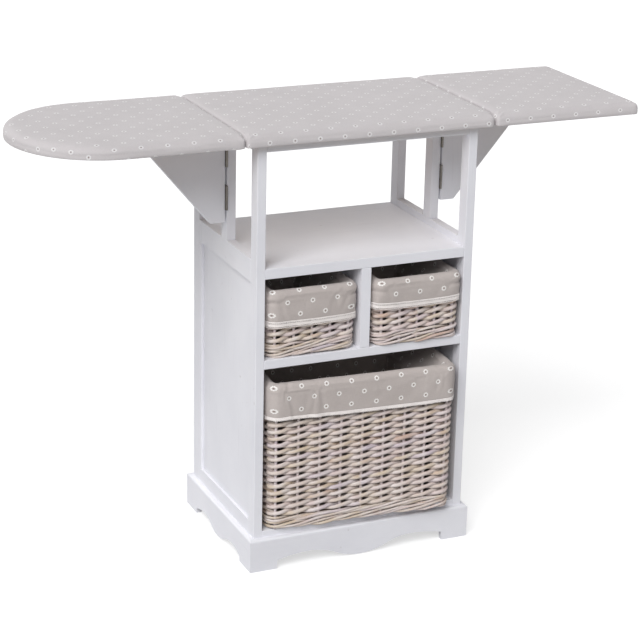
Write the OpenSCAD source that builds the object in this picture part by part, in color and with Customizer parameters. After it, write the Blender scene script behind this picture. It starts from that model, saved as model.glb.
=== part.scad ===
/* [Cabinet] */
// Width between the outer faces of the posts
cabinet_w = 454; // [430:2:500]
// Depth between the outer faces of the posts
cabinet_d = 335; // [325:1:360]
// Thickness of the posts and side rails, measured across the cabinet
post_t = 18; // [16:1:22]
// Width of the corner posts, seen from the side
post_w = 30; // [26:1:36]
// Width of the rear stiles below the open shelf
rear_stile_w = 42; // [38:1:50]
// Width of the posts halfway along the open sides
middle_post_w = 29; // [24:1:34]
// Thickness of the floor board and the middle shelf
shelf_t = 18; // [15:1:22]
// Thickness of the top shelf
top_shelf_t = 20; // [16:1:24]
// Thickness of the upright between the small baskets
divider_t = 20; // [16:1:24]
// Thickness of the side and back panels
panel_t = 6; // [4:1:8]
// Depth of the side panels below the faces of their frames
panel_recess = 6; // [4:1:8]
// Distance of the back panel from the rear face
back_recess = 6; // [4:1:12]

/* [Heights] */
// Height of the upper face of the floor board
floor_z = 81; // [78:1:90]
// Height of the upper face of the middle shelf
middle_z = 436; // [400:2:450]
// Height of the upper face of the top shelf
shelf_z = 618; // [600:1:640]
// Height of the underside of the ironing boards
board_z = 858; // [820:1:900]
// Rise of the side rails above the top shelf
rail_lip = 14; // [10:1:20]
// Height of the side rails beside the top shelf
shelf_rail_h = 45; // [40:1:60]
// Height of the rails under the middle board
top_rail_h = 15; // [12:1:24]
// Thickness of the front and back rails under the middle board
top_rail_t = 18; // [14:1:22]
// Height of the bottom side rails above the plinth
bottom_rail_h = 29; // [24:1:40]

/* [Plinth] */
// Height of the plinth boards
plinth_h = 68; // [60:1:76]
// Thickness of the plinth boards
plinth_t = 11; // [9:1:14]
// Radius of the rounded upper edge
plinth_edge_r = 5; // [3:1:7]
// Length of each foot
foot_l = 58; // [50:1:70]
// Height of the arches at the front and back
arch_h = 27; // [22:1:32]
// Height of the arches at the sides
side_arch_h = 20; // [16:1:26]
// Clearance of the middle lobes above the ground
lobe_z = 2; // [1:0.5:5]
// Fall of each arch towards its foot
arch_fall = 9; // [6:1:12]

/* [Ironing boards] */
// Overhang of the middle board over each side of the cabinet, with its cover
side_overhang = 28; // [26:1:50]
// Overhang of the boards over the front of the cabinet
front_overhang = 18.5; // [12:0.5:24]
// Overhang of the boards over the back of the cabinet
rear_overhang = 7.5; // [0:0.5:20]
// Length of the rounded left leaf
left_leaf_l = 394; // [360:2:460]
// Length of its rounded end
round_end_l = 172; // [140:2:200]
// Length of the square right leaf
right_leaf_l = 316; // [280:2:360]
// Thickness of the bare boards
board_t = 12; // [9:1:14]
// Thickness of the padding on a board
pad_t = 10; // [8:1:14]
// Thickness of the cover along the edges of a board
cover_t = 4; // [3:0.5:6]
// Gap between neighbouring covers
seam_gap = 3; // [2.5:0.5:5]
// Radius of the corners of the covers
corner_r = 9; // [7:1:16]

/* [Brackets] */
// Thickness of the swinging brackets
bracket_t = 18; // [14:1:20]
// Reach of a bracket
bracket_reach = 152; // [130:1:160]
// Height of a bracket
bracket_h = 183; // [170:1:200]
// Length of its lower edge
bracket_foot = 30; // [24:1:40]
// Height of its outer edge
bracket_nose = 38; // [30:1:60]
// Gap between a bracket and its post
bracket_gap = 4; // [3.6:0.2:6]
// Length of the bumper on top of a bracket
bumper_l = 16; // [12:1:20]
// Gap between a bumper and its leaf
bumper_play = 0.3; // [0.2:0.1:0.5]

/* [Hinges] */
// Length of the bracket hinges
bracket_hinge_l = 48; // [40:1:56]
// Length of the board hinges
board_hinge_l = 36; // [30:1:40]
// Width of the plates of the hinges
plate_w = 20; // [16:1:22]
// Thickness of the plates
plate_t = 1.2; // [1:0.1:1.5]
// Radius of the knuckles
knuckle_r = 2.5; // [2.2:0.1:3]
// Radius of the hinge pins
pin_r = 1.2; // [1:0.1:1.4]
// Radial clearance of a pin in its knuckle
pin_play = 0.05; // [0.03:0.01:0.08]
// Distance of a board hinge from the nearest long edge of the boards
board_hinge_in = 68; // [66:1:90]
// Distance of a bracket hinge from the end of the bracket
bracket_hinge_in = 49; // [40:1:56]

/* [Baskets] */
// Room beside the large basket
big_play = 9; // [8:0.5:16]
// Room beside each small basket
small_play = 7; // [7:0.5:10]
// Room above the large basket
big_headroom = 31; // [20:1:50]
// Room above each small basket
small_headroom = 27; // [20:1:50]
// Depth of the large basket
big_d = 290; // [260:2:300]
// Depth of the small baskets
small_d = 250; // [230:2:270]
// Distance of the large basket's front past the posts
big_out = 24; // [10:1:30]
// Distance of the large basket from the middle of its bay, to the right
big_shift = 2.5; // [-1:0.5:2.5]
// Distance of the left small basket's front behind the posts
left_in = 1.5; // [0:0.5:10]
// Distance of the right small basket's front past the posts
right_out = 7.5; // [0:0.5:12]
// Turn of the large basket in its bay, in degrees
big_turn = 3.2; // [0:0.1:3.5]
// Turn of the small baskets in their bays, in degrees
small_turn = 3.5; // [0:0.1:3.5]
// Narrowing of a basket towards its base
basket_taper = 1; // [0:1:8]
// Thickness of the base of a basket
base_t = 5; // [4:1:8]

/* [Wicker] */
// Number of stakes of the large basket
big_stakes = 28; // [24:4:32]
// Number of stakes of a small basket
small_stakes = 20; // [16:4:20]
// Radius of the stakes
stake_r = 2.3; // [1.8:0.1:2.6]
// Radius of the woven rods
rod_r = 3.6; // [3:0.1:3.7]
// Height of a woven row of the large basket
big_row = 14.3; // [13.6:0.1:16]
// Height of a woven row of a small basket
small_row = 13.4; // [13.2:0.1:15]
// Number of thick rows round the foot of a basket
foot_rows = 2; // [1:1:2]
// Radius of the border rod under the rim
border_r = 4; // [3:0.5:4.5]

/* [Liners] */
// Thickness of the liner cloth
cloth_t = 2; // [1.5:0.1:2.4]
// Depth of the large liner's fold, without its lace
big_flap = 66; // [50:1:80]
// Depth of the left small liner's fold, without its lace
left_flap = 57; // [40:1:60]
// Depth of the right small liner's fold, without its lace
right_flap = 44; // [40:1:60]
// Height of the large liner's lace
big_lace = 7; // [5:1:12]
// Height of the small liners' lace
small_lace = 13; // [8:1:16]

/* [Hidden] */

PAINT = [0.91, 0.91, 0.93];
COVER = [0.79, 0.77, 0.75];
LINEN = [0.72, 0.68, 0.64];
WILLOW = [0.80, 0.73, 0.67];
LACE = [0.93, 0.92, 0.88];
BOARD = [0.72, 0.60, 0.45];
STEEL = [0.55, 0.53, 0.50];
FELT = [0.35, 0.34, 0.33];

// Half sizes of the cabinet and the room between its posts
half_w = cabinet_w / 2;
half_d = cabinet_d / 2;
inner_w = cabinet_w - 2 * post_t;
rear_in = half_d - back_recess - panel_t;
rail_top_z = shelf_z + rail_lip;

// Outlines of the boards with their covers
board_y0 = -half_d - front_overhang;
board_y1 = half_d + rear_overhang;
board_mid_y = (board_y0 + board_y1) / 2;
middle_x = half_w + side_overhang;
leaf_x0 = middle_x + seam_gap;
seam_x = middle_x + seam_gap / 2;
ARC_STEPS = 4;
END_STEPS = 24;

// Pins of the board hinges lie just under the boards, those of the brackets before their posts
board_pin_z = board_z - knuckle_r;
bracket_pin_x = half_w + bracket_gap / 2;
bracket_front = -middle_post_w / 2;
bracket_pin_y = bracket_front - knuckle_r;
bracket_x0 = half_w + bracket_gap;
bracket_top = board_pin_z - knuckle_r - 1;
bracket_z0 = bracket_top - bracket_h;
knuckle_play = 0.3;

// Wicker: rods twist about each other between the stakes and pass before and behind them
tall = rod_r * sqrt(3) / 2;
rod_rise = tall + 0.18;
rod_front = stake_r + rod_r / 2 + 1.2;
rod_back = stake_r + rod_r + 0.9;
corner_room = 0.8;
weave_out = rod_front + corner_room + rod_r;
weave_in = rod_back + rod_r / 2;
row_h = 2 * (rod_rise + tall) + 0.6;
flap_in = weave_out + 0.5;
wall_in = weave_in + 0.6;
tuck = 5;
rim_swell = 1.5;
rim_out = flap_in + cloth_t + rim_swell;
basket_corner = 30;

// Baskets: width, depth, height, stakes, row, fold, lace
bay_big = middle_z - shelf_t - floor_z;
bay_small = shelf_z - top_shelf_t - middle_z;
bay_small_w = (inner_w - divider_t) / 2;
BIG = [inner_w - 2 * big_play, big_d, bay_big - big_headroom, big_stakes, big_row, big_flap, big_lace];
small_w = bay_small_w - 2 * small_play;
small_h = bay_small - small_headroom;
LEFT = [small_w, small_d, small_h, small_stakes, small_row, left_flap, small_lace];
RIGHT = [small_w, small_d, small_h, small_stakes, small_row, right_flap, small_lace];
small_x = (divider_t + bay_small_w) / 2;
big_y = -half_d - big_out + big_d / 2;
left_y = -half_d + left_in + small_d / 2;
right_y = -half_d - right_out + small_d / 2;

// Boxes and shapes

module slab(low, high) {
  translate(low) cube(high - low);
}

// A closed solid through loops of points, each loop with as many points as the next
module skin(loops) {
  m = len(loops[0]);
  n = len(loops);
  polyhedron(
    points = [for (l = loops) for (p = l) p],
    faces = concat(
      [[for (i = [0 : m - 1]) i]],
      [for (k = [0 : n - 2]) for (i = [0 : m - 1]) [k * m + i, (k + 1) * m + i, k * m + (i + 1) % m]],
      [for (k = [0 : n - 2]) for (i = [0 : m - 1])
        [(k + 1) * m + i, (k + 1) * m + (i + 1) % m, k * m + (i + 1) % m]],
      [[for (i = [m - 1 : -1 : 0]) (n - 1) * m + i]]
    )
  );
}

// A closed hoop through cross-sections, the last joined to the first
module hoop(rings) {
  m = len(rings[0]);
  n = len(rings);
  polyhedron(
    points = [for (l = rings) for (p = l) p],
    faces = [for (k = [0 : n - 1]) for (i = [0 : m - 1]) for (half = [0, 1])
      let (a = k * m + i, b = k * m + (i + 1) % m, c = ((k + 1) % n) * m + i,
           d = ((k + 1) % n) * m + (i + 1) % m)
      half == 0 ? [a, b, c] : [b, d, c]]
  );
}

function at_z(points, z) = [for (p = points) [p[0], p[1], z]];

function corner(cx, cy, r, a0) =
  [for (i = [0 : ARC_STEPS]) [cx + r * cos(a0 + 90 * i / ARC_STEPS), cy + r * sin(a0 + 90 * i / ARC_STEPS)]];

// Outline of a rectangle with round corners
function round_rect(x0, x1, y0, y1, r) = concat(
  corner(x0 + r, y0 + r, r, 180),
  corner(x1 - r, y0 + r, r, 270),
  corner(x1 - r, y1 - r, r, 0),
  corner(x0 + r, y1 - r, r, 90)
);

// Plinth

function arc(cx, cz, r, a0, a1, n) = [for (i = [0 : n]) [cx + r * cos(a0 + (a1 - a0) * i / n),
                                                       cz + r * sin(a0 + (a1 - a0) * i / n)]];

// Half of a plinth board's lower edge, from the middle lobe over the arch to the foot
function half_edge(half_l, top) =
  let (run = half_l - foot_l, h = 0.62 * run, v = top - lobe_z, r = (h * h + v * v) / (4 * v),
       a = asin(h / 2 / r), g = run - h, s = (g * g + arch_fall * arch_fall) / (2 * arch_fall),
       b = asin(g / s))
  concat(
    arc(0, lobe_z + r, r, -90, -90 + a, 6),
    arc(h, top - r, r, 90 + a, 90, 6),
    arc(h, top - s, s, 90, 90 - b, 5),
    [[run + 1, 0], [half_l, 0]]
  );

function plinth_outline(half_l, top) =
  let (e = half_edge(half_l, top), n = len(e))
  concat(
    [for (i = [n - 1 : -1 : 1]) [-e[i][0], e[i][1]]],
    e,
    [[half_l, plinth_h], [-half_l, plinth_h]]
  );

// A plinth board along X whose outer face is at y = 0, mitred at both ends
module plinth_board(half_l, top) {
  color(PAINT)
  intersection() {
    translate([0, plinth_t, 0]) rotate([90, 0, 0]) linear_extrude(plinth_t)
      polygon(plinth_outline(half_l, top));
    linear_extrude(plinth_h) polygon([
      [-half_l, 0], [half_l, 0], [half_l - plinth_t, plinth_t], [-half_l + plinth_t, plinth_t]]);
    translate([-half_l, 0, 0]) rotate([90, 0, 90]) linear_extrude(2 * half_l) union() {
      square([plinth_t, plinth_h - plinth_edge_r]);
      translate([plinth_edge_r, 0]) square([plinth_t - plinth_edge_r, plinth_h]);
      translate([plinth_edge_r, plinth_h - plinth_edge_r]) circle(plinth_edge_r, $fn = 48);
    }
  }
}

module plinth_front() {
  translate([0, -half_d - plinth_t, 0]) plinth_board(half_w + plinth_t, arch_h);
}

module plinth_back() {
  mirror([0, 1, 0]) plinth_front();
}

module plinth_left() {
  translate([-half_w - plinth_t, 0, 0]) rotate(-90) plinth_board(half_d + plinth_t, side_arch_h);
}

module plinth_right() {
  mirror([1, 0, 0]) plinth_left();
}

// Boards of the cabinet

module floor_board() {
  color(PAINT) slab([-inner_w / 2, -half_d, floor_z - shelf_t], [inner_w / 2, rear_in, floor_z]);
}

module middle_shelf() {
  color(PAINT) slab([-inner_w / 2, -half_d, middle_z - shelf_t], [inner_w / 2, rear_in, middle_z]);
}

module top_shelf() {
  color(PAINT) slab([-inner_w / 2, -half_d, shelf_z - top_shelf_t], [inner_w / 2, half_d, shelf_z]);
}

module divider() {
  color(PAINT) slab([-divider_t / 2, -half_d, middle_z], [divider_t / 2, rear_in, shelf_z - top_shelf_t]);
}

module back_panel() {
  color(PAINT)
  slab([-inner_w / 2, rear_in, floor_z - shelf_t], [inner_w / 2, rear_in + panel_t, shelf_z - top_shelf_t]);
}

module post_front_left() {
  color(PAINT) slab([-half_w, -half_d, 0], [-half_w + post_t, -half_d + post_w, board_z]);
}

module post_front_right() {
  mirror([1, 0, 0]) post_front_left();
}

module post_rear_left() {
  mirror([0, 1, 0]) post_front_left();
}

module post_rear_right() {
  mirror([1, 0, 0]) post_rear_left();
}

// A strip that widens the rear post beside the panel
module stile_left() {
  color(PAINT) slab([-half_w, half_d - rear_stile_w, 0], [-half_w + post_t, half_d - post_w, rail_top_z]);
}

module stile_right() {
  mirror([1, 0, 0]) stile_left();
}

module post_middle_left() {
  color(PAINT) slab([-half_w, -middle_post_w / 2, rail_top_z],
                    [-half_w + post_t, middle_post_w / 2, board_z - top_rail_h]);
}

module post_middle_right() {
  mirror([1, 0, 0]) post_middle_left();
}

// A piece of the left side frame between the front post and the rear stile
module side_piece(z0, z1, recess, t) {
  color(PAINT)
  slab([-half_w + recess, -half_d + post_w, z0], [-half_w + recess + t, half_d - rear_stile_w, z1]);
}

module panel_left() {
  side_piece(plinth_h + bottom_rail_h, rail_top_z - shelf_rail_h, panel_recess, panel_t);
}

module panel_right() {
  mirror([1, 0, 0]) panel_left();
}

module rail_bottom_left() {
  side_piece(floor_z - shelf_t, plinth_h + bottom_rail_h, 0, post_t);
}

module rail_bottom_right() {
  mirror([1, 0, 0]) rail_bottom_left();
}

module rail_shelf_left() {
  side_piece(rail_top_z - shelf_rail_h, rail_top_z, 0, post_t);
}

module rail_shelf_right() {
  mirror([1, 0, 0]) rail_shelf_left();
}

module rail_top_front() {
  color(PAINT)
  slab([-inner_w / 2, -half_d, board_z - top_rail_h], [inner_w / 2, -half_d + top_rail_t, board_z]);
}

module rail_top_back() {
  mirror([0, 1, 0]) rail_top_front();
}

module rail_top_left() {
  color(PAINT) slab([-half_w, -half_d + post_w, board_z - top_rail_h],
                    [-half_w + post_t, half_d - post_w, board_z]);
}

module rail_top_right() {
  mirror([1, 0, 0]) rail_top_left();
}

// Ironing boards: a bare board and, over it, padding with a tight cover down to its lower edge

function square_board(x0, x1, in) =
  round_rect(x0 + in, x1 - in, board_y0 + in, board_y1 - in, corner_r - min(in, corner_r - 2));

// The left leaf, square at the seam and round at its outer end
function round_board(in) =
  let (x1 = -leaf_x0 - in, xc = -leaf_x0 - left_leaf_l + round_end_l, r = corner_r - min(in, corner_r - 2),
       b = (board_y1 - board_y0) / 2 - in, a = round_end_l - in)
  concat(
    corner(x1 - r, board_mid_y - b + r, r, 270),
    corner(x1 - r, board_mid_y + b - r, r, 0),
    [for (i = [0 : END_STEPS]) let (t = 90 + 180 * i / END_STEPS) [xc + a * cos(t), board_mid_y + b * sin(t)]]
  );

// Insets and heights of the cover, from the board's upper face round the edge to the crown
cover_profile = [
  [cover_t, board_t], [cover_t, 0], [1.5, 0], [0.5, 1.5], [0, 0.4 * (board_t + pad_t)],
  [0.4, 0.6 * (board_t + pad_t)], [1.8, 0.8 * (board_t + pad_t)], [5, board_t + pad_t - 1.6],
  [14, board_t + pad_t - 0.5], [50, board_t + pad_t]
];

function middle_board(in) = square_board(-middle_x, middle_x, in);
function right_board(in) = square_board(leaf_x0, leaf_x0 + right_leaf_l, in);

module deck() {
  color(BOARD) translate([0, 0, board_z]) linear_extrude(board_t) polygon(middle_board(cover_t));
}

module pad_middle() {
  color(COVER) skin([for (p = cover_profile) at_z(middle_board(p[0]), board_z + p[1])]);
}

module leaf_left() {
  color(BOARD) translate([0, 0, board_z]) linear_extrude(board_t) polygon(round_board(cover_t));
}

module pad_left() {
  color(COVER) skin([for (p = cover_profile) at_z(round_board(p[0]), board_z + p[1])]);
}

module leaf_right() {
  color(BOARD) translate([0, 0, board_z]) linear_extrude(board_t) polygon(right_board(cover_t));
}

module pad_right() {
  color(COVER) skin([for (p = cover_profile) at_z(right_board(p[0]), board_z + p[1])]);
}

// Hinges: half a butt hinge about the Z axis, with its plate at x = side, running towards +Y or -Y

module hinge_half(l, side, way, holds_pin) {
  third = l / 3;
  slots = holds_pin ? [-third, third] : [0];
  long = third - (holds_pin ? 0 : 2 * knuckle_play);
  near = knuckle_r + 0.2;
  color(STEEL)
  union() {
    translate([side, way > 0 ? near : -near - plate_w, -l / 2]) cube([plate_t, plate_w, l]);
    for (z = slots) difference() {
      union() {
        translate([0, 0, z - long / 2]) cylinder(r = knuckle_r, h = long, $fn = 48);
        translate([side, way > 0 ? 0 : -near - 1, z - long / 2]) cube([plate_t, near + 1, long]);
      }
      if (!holds_pin) translate([0, 0, z - l]) cylinder(r = pin_r + pin_play, h = 2 * l, $fn = 48);
    }
    if (holds_pin) translate([0, 0, -l / 2]) cylinder(r = pin_r, h = l, $fn = 48);
  }
}

// Both hinges of the left bracket; the right ones are their mirror image
module bracket_hinges(side, holds_pin) {
  for (z = [bracket_z0 + bracket_hinge_in, bracket_top - bracket_hinge_in])
    translate([-bracket_pin_x, bracket_pin_y, z]) hinge_half(bracket_hinge_l, side, 1, holds_pin);
}

// Both hinges of the left seam, with their pins along Y
module board_hinges(way, holds_pin) {
  for (y = [board_y0 + board_hinge_in, board_y1 - board_hinge_in])
    translate([-seam_x, y, board_pin_z]) multmatrix([[0, 1, 0, 0], [0, 0, 1, 0], [1, 0, 0, 0]])
      hinge_half(board_hinge_l, knuckle_r - plate_t, way, holds_pin);
}

module bracket_plates_left() {
  bracket_hinges(bracket_gap / 2 - plate_t, true);
}

module bracket_plates_right() {
  mirror([1, 0, 0]) bracket_plates_left();
}

module swing_plates_left() {
  bracket_hinges(-bracket_gap / 2, false);
}

module swing_plates_right() {
  mirror([1, 0, 0]) swing_plates_left();
}

module board_plates_left() {
  board_hinges(1, true);
}

module board_plates_right() {
  mirror([1, 0, 0]) board_plates_left();
}

module leaf_plates_left() {
  board_hinges(-1, false);
}

module leaf_plates_right() {
  mirror([1, 0, 0]) leaf_plates_left();
}

// Brackets

module bracket_left() {
  tip = -bracket_x0 - bracket_reach;
  color(PAINT)
  translate([0, bracket_front + bracket_t, 0]) rotate([90, 0, 0]) linear_extrude(bracket_t) polygon([
    [-bracket_x0, bracket_z0], [-bracket_x0, bracket_top], [tip, bracket_top],
    [tip, bracket_top - bracket_nose], [-bracket_x0 - bracket_foot, bracket_z0]]);
}

module bracket_right() {
  mirror([1, 0, 0]) bracket_left();
}

module bumper_left() {
  color(FELT) translate([-bracket_x0 - bracket_reach + 2, bracket_front + 1, bracket_top])
    cube([bumper_l, bracket_t - 2, board_z - bumper_play - bracket_top]);
}

module bumper_right() {
  mirror([1, 0, 0]) bumper_left();
}

// Baskets, each standing at z = 0 about its own middle. n is the distance out from the stakes.

function stakes_x(b, z) = b[0] / 2 - rim_out - basket_taper * (1 - z / b[2]);
function stakes_y(b, z) = b[1] / 2 - rim_out - basket_taper * (1 - z / b[2]);
function way_round(hx, hy) = 4 * (hx + hy - 2 * basket_corner) + 2 * PI * basket_corner;

// The point at a distance s round the stakes from the middle of the front, moved out by n
function along(hx, hy, n, s) =
  let (r = basket_corner, a = hx - r, b = hy - r, q = PI * r / 2, whole = way_round(hx, hy),
       t = (s + a + whole) % whole, back = t >= whole / 2, u = back ? t - whole / 2 : t,
       p = u < 2 * a ? [u - a, -hy - n]
         : u < 2 * a + q ? let (f = 90 * (u - 2 * a) / q - 90) [a + (r + n) * cos(f), -b + (r + n) * sin(f)]
         : u < 2 * a + q + 2 * b ? [hx + n, u - 2 * a - q - b]
         : let (f = 90 * (u - 2 * a - q - 2 * b) / q) [a + (r + n) * cos(f), b + (r + n) * sin(f)])
  back ? -p : p;

// k counts stakes from the middle of the front
function stake_point(b, k, n, z) =
  let (hx = stakes_x(b, z), hy = stakes_y(b, z), p = along(hx, hy, n, k * way_round(hx, hy) / b[3]))
  [p[0], p[1], z];

// True where stake k stands at a corner
function at_corner(b, k) =
  let (p = stake_point(b, k, 0, 0), hx = stakes_x(b, 0), hy = stakes_y(b, 0), reach = basket_corner + 12)
  abs(p[0]) > hx - reach && abs(p[1]) > hy - reach;

// Where a rod runs: each mark is its place among the stakes, its distance out and its rise. It passes
// before the stakes of every other group, rises there, and falls again behind the next group.
function marks(b, group, first) = [
  for (k = [0 : b[3] - 1])
    let (j = k % group, before = floor(k / group) % 2 == first,
         rise = rod_rise * (2 * (j + 0.5) / group - 1),
         front = rod_front + (at_corner(b, k) ? corner_room : 0))
    for (m = before
      ? concat(j == 0 ? [[k - 0.5, -rod_back, -rod_rise]] : [], [[k, front, rise]],
               j == group - 1 ? [[k + 0.5, -rod_back, rod_rise]] : [])
      : concat(at_corner(b, k) || j < group - 1 ? [[k, -rod_back, -rise]] : [],
               j < group - 1 ? [[k + 0.5, -rod_back, rod_rise * (1 - 2 * (j + 1) / group)]] : [])) m
];

module rod(b, z, group, first) {
  hoop([for (m = marks(b, group, first)) let (h = z + m[2]) [
    stake_point(b, m[0], m[1] + rod_r, h),
    stake_point(b, m[0], m[1] - rod_r / 2, h + tall),
    stake_point(b, m[0], m[1] - rod_r / 2, h - tall)]]);
}

// Rods woven in twisting pairs about upright stakes. The last row is tucked under the lace.
module weave(b) {
  first_z = 1 + rod_rise + tall;
  rows_z = first_z + foot_rows * row_h;
  top_z = b[2] - b[5] - b[6] + tuck;
  rows = floor((top_z - rows_z - rod_rise - tall) / b[4]) + 1;
  border_z = b[2] - cloth_t - border_r - 3;
  color(WILLOW) {
    for (i = [0 : foot_rows - 1], first = [0, 1]) rod(b, first_z + i * row_h, 2, first);
    for (i = [0 : rows - 1], first = [0, 1]) rod(b, rows_z + i * b[4], 1, first);
    for (k = [0 : b[3] - 1]) hull() skin([for (z = [1, border_z - border_r - 0.5])
      let (c = stake_point(b, k, 0, z)) [for (a = [0 : 72 : 288]) c + stake_r * [cos(a), sin(a), 0]]]);
    hoop([for (k = [0 : b[3] - 1]) [for (a = [0 : 90 : 270])
      stake_point(b, k + 0.5, border_r * cos(a), border_z + border_r * sin(a))]]);
  }
}

// The outline at a distance n out from the stakes, at height z
function basket_ring(b, n, z) =
  let (hx = stakes_x(b, z) + n, hy = stakes_y(b, z) + n)
  at_z(round_rect(-hx, hx, -hy, hy, basket_corner + max(n, 0)), z);

module base(b) {
  color(WILLOW) linear_extrude(base_t) polygon([for (p = basket_ring(b, -wall_in, 0)) [p[0], p[1]]]);
}

// A cloth lining that folds out over the rim and hangs down before the weave
module liner(b) {
  half = (flap_in + wall_in) / 2;
  mid = (flap_in - wall_in) / 2;
  shoulder = 14;
  top = b[2] - shoulder;
  flap_z = b[2] - b[5];
  color(LINEN)
  skin(concat(
    [basket_ring(b, -wall_in, base_t)],
    [for (a = [180 : -45 : 0]) basket_ring(b, mid + half * cos(a), top + (shoulder - cloth_t) * sin(a))],
    [basket_ring(b, flap_in, flap_z), basket_ring(b, flap_in + cloth_t, flap_z)],
    [basket_ring(b, flap_in + cloth_t + 0.2, flap_z + 12), basket_ring(b, flap_in + cloth_t - 0.1, top - 9)],
    [for (a = [0 : 30 : 180])
      basket_ring(b, mid + (half + cloth_t + max(rim_swell * cos(a), 0)) * cos(a), top + shoulder * sin(a))],
    [basket_ring(b, -wall_in - cloth_t, base_t + cloth_t)]
  ));
}

module lace(b) {
  z = b[2] - b[5];
  loops = [for (p = [[0.3, 0], [0.3, -b[6]], [cloth_t - 0.3, -b[6]], [cloth_t - 0.3, 0]])
    basket_ring(b, flap_in + p[0], z + p[1])];
  color(LACE) hoop([for (i = [0 : len(loops[0]) - 1]) [for (l = loops) l[i]]]);
}

module in_big_bay() {
  translate([big_shift, big_y, floor_z]) rotate(-big_turn) children();
}

module in_left_bay() {
  translate([-small_x, left_y, middle_z]) rotate(-small_turn) children();
}

module in_right_bay() {
  translate([small_x, right_y, middle_z]) rotate(-small_turn) children();
}

module weave_big() { in_big_bay() weave(BIG); }
module base_big() { in_big_bay() base(BIG); }
module liner_big() { in_big_bay() liner(BIG); }
module lace_big() { in_big_bay() lace(BIG); }
module weave_small_left() { in_left_bay() weave(LEFT); }
module base_small_left() { in_left_bay() base(LEFT); }
module liner_small_left() { in_left_bay() liner(LEFT); }
module lace_small_left() { in_left_bay() lace(LEFT); }
module weave_small_right() { in_right_bay() weave(RIGHT); }
module base_small_right() { in_right_bay() base(RIGHT); }
module liner_small_right() { in_right_bay() liner(RIGHT); }
module lace_small_right() { in_right_bay() lace(RIGHT); }

plinth_front();
plinth_back();
plinth_left();
plinth_right();
floor_board();
middle_shelf();
top_shelf();
divider();
back_panel();
post_front_left();
post_front_right();
post_rear_left();
post_rear_right();
stile_left();
stile_right();
post_middle_left();
post_middle_right();
panel_left();
panel_right();
rail_bottom_left();
rail_bottom_right();
rail_shelf_left();
rail_shelf_right();
rail_top_front();
rail_top_back();
rail_top_left();
rail_top_right();
deck();
pad_middle();
board_plates_left();
board_plates_right();
bracket_plates_left();
bracket_plates_right();
leaf_left();
pad_left();
leaf_plates_left();
leaf_right();
pad_right();
leaf_plates_right();
bracket_left();
bumper_left();
swing_plates_left();
bracket_right();
bumper_right();
swing_plates_right();
weave_big();
base_big();
liner_big();
lace_big();
weave_small_left();
base_small_left();
liner_small_left();
lace_small_left();
weave_small_right();
base_small_right();
liner_small_right();
lace_small_right();
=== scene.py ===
import math

import bpy
import numpy as np
from mathutils import Matrix, Vector, noise


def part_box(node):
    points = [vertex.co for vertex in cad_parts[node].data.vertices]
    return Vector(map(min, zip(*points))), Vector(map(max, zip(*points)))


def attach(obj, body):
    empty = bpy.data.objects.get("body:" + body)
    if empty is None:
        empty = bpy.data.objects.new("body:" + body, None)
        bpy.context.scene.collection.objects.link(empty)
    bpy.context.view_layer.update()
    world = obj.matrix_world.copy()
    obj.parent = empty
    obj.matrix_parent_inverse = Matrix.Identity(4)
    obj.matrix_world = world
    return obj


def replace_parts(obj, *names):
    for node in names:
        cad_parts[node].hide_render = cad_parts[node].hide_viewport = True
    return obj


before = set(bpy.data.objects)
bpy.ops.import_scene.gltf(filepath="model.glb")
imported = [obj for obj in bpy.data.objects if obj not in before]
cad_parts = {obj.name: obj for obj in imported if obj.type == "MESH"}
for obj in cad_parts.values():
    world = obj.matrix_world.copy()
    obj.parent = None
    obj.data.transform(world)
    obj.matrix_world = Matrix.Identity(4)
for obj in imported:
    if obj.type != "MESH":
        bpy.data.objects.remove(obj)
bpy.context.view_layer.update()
rng = np.random.default_rng(7)
scene = bpy.context.scene
MM = 0.001

# Camera, fitted to the photograph

CAM = Vector((-1.58156, -3.48679, 1.79004))
FORWARD = Vector((0.38529, 0.860535, -0.333214)).normalized()
SENSOR, FOCAL_PIXELS, PHOTO_WIDTH = 36, 2025.03, 640
right = Vector((0.915542, -0.401656, 0.021337)).normalized()
up = right.cross(FORWARD).normalized()
right = FORWARD.cross(up)
camera = bpy.data.objects.new("camera", bpy.data.cameras.new("camera"))
camera.matrix_world = Matrix((
    (right.x, up.x, -FORWARD.x, CAM.x),
    (right.y, up.y, -FORWARD.y, CAM.y),
    (right.z, up.z, -FORWARD.z, CAM.z),
    (0, 0, 0, 1),
))
camera.data.sensor_width = SENSOR
camera.data.lens = FOCAL_PIXELS / PHOTO_WIDTH * SENSOR
camera.data.clip_start, camera.data.clip_end = 0.1, 60
scene.collection.objects.link(camera)
scene.camera = camera


# Materials


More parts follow.
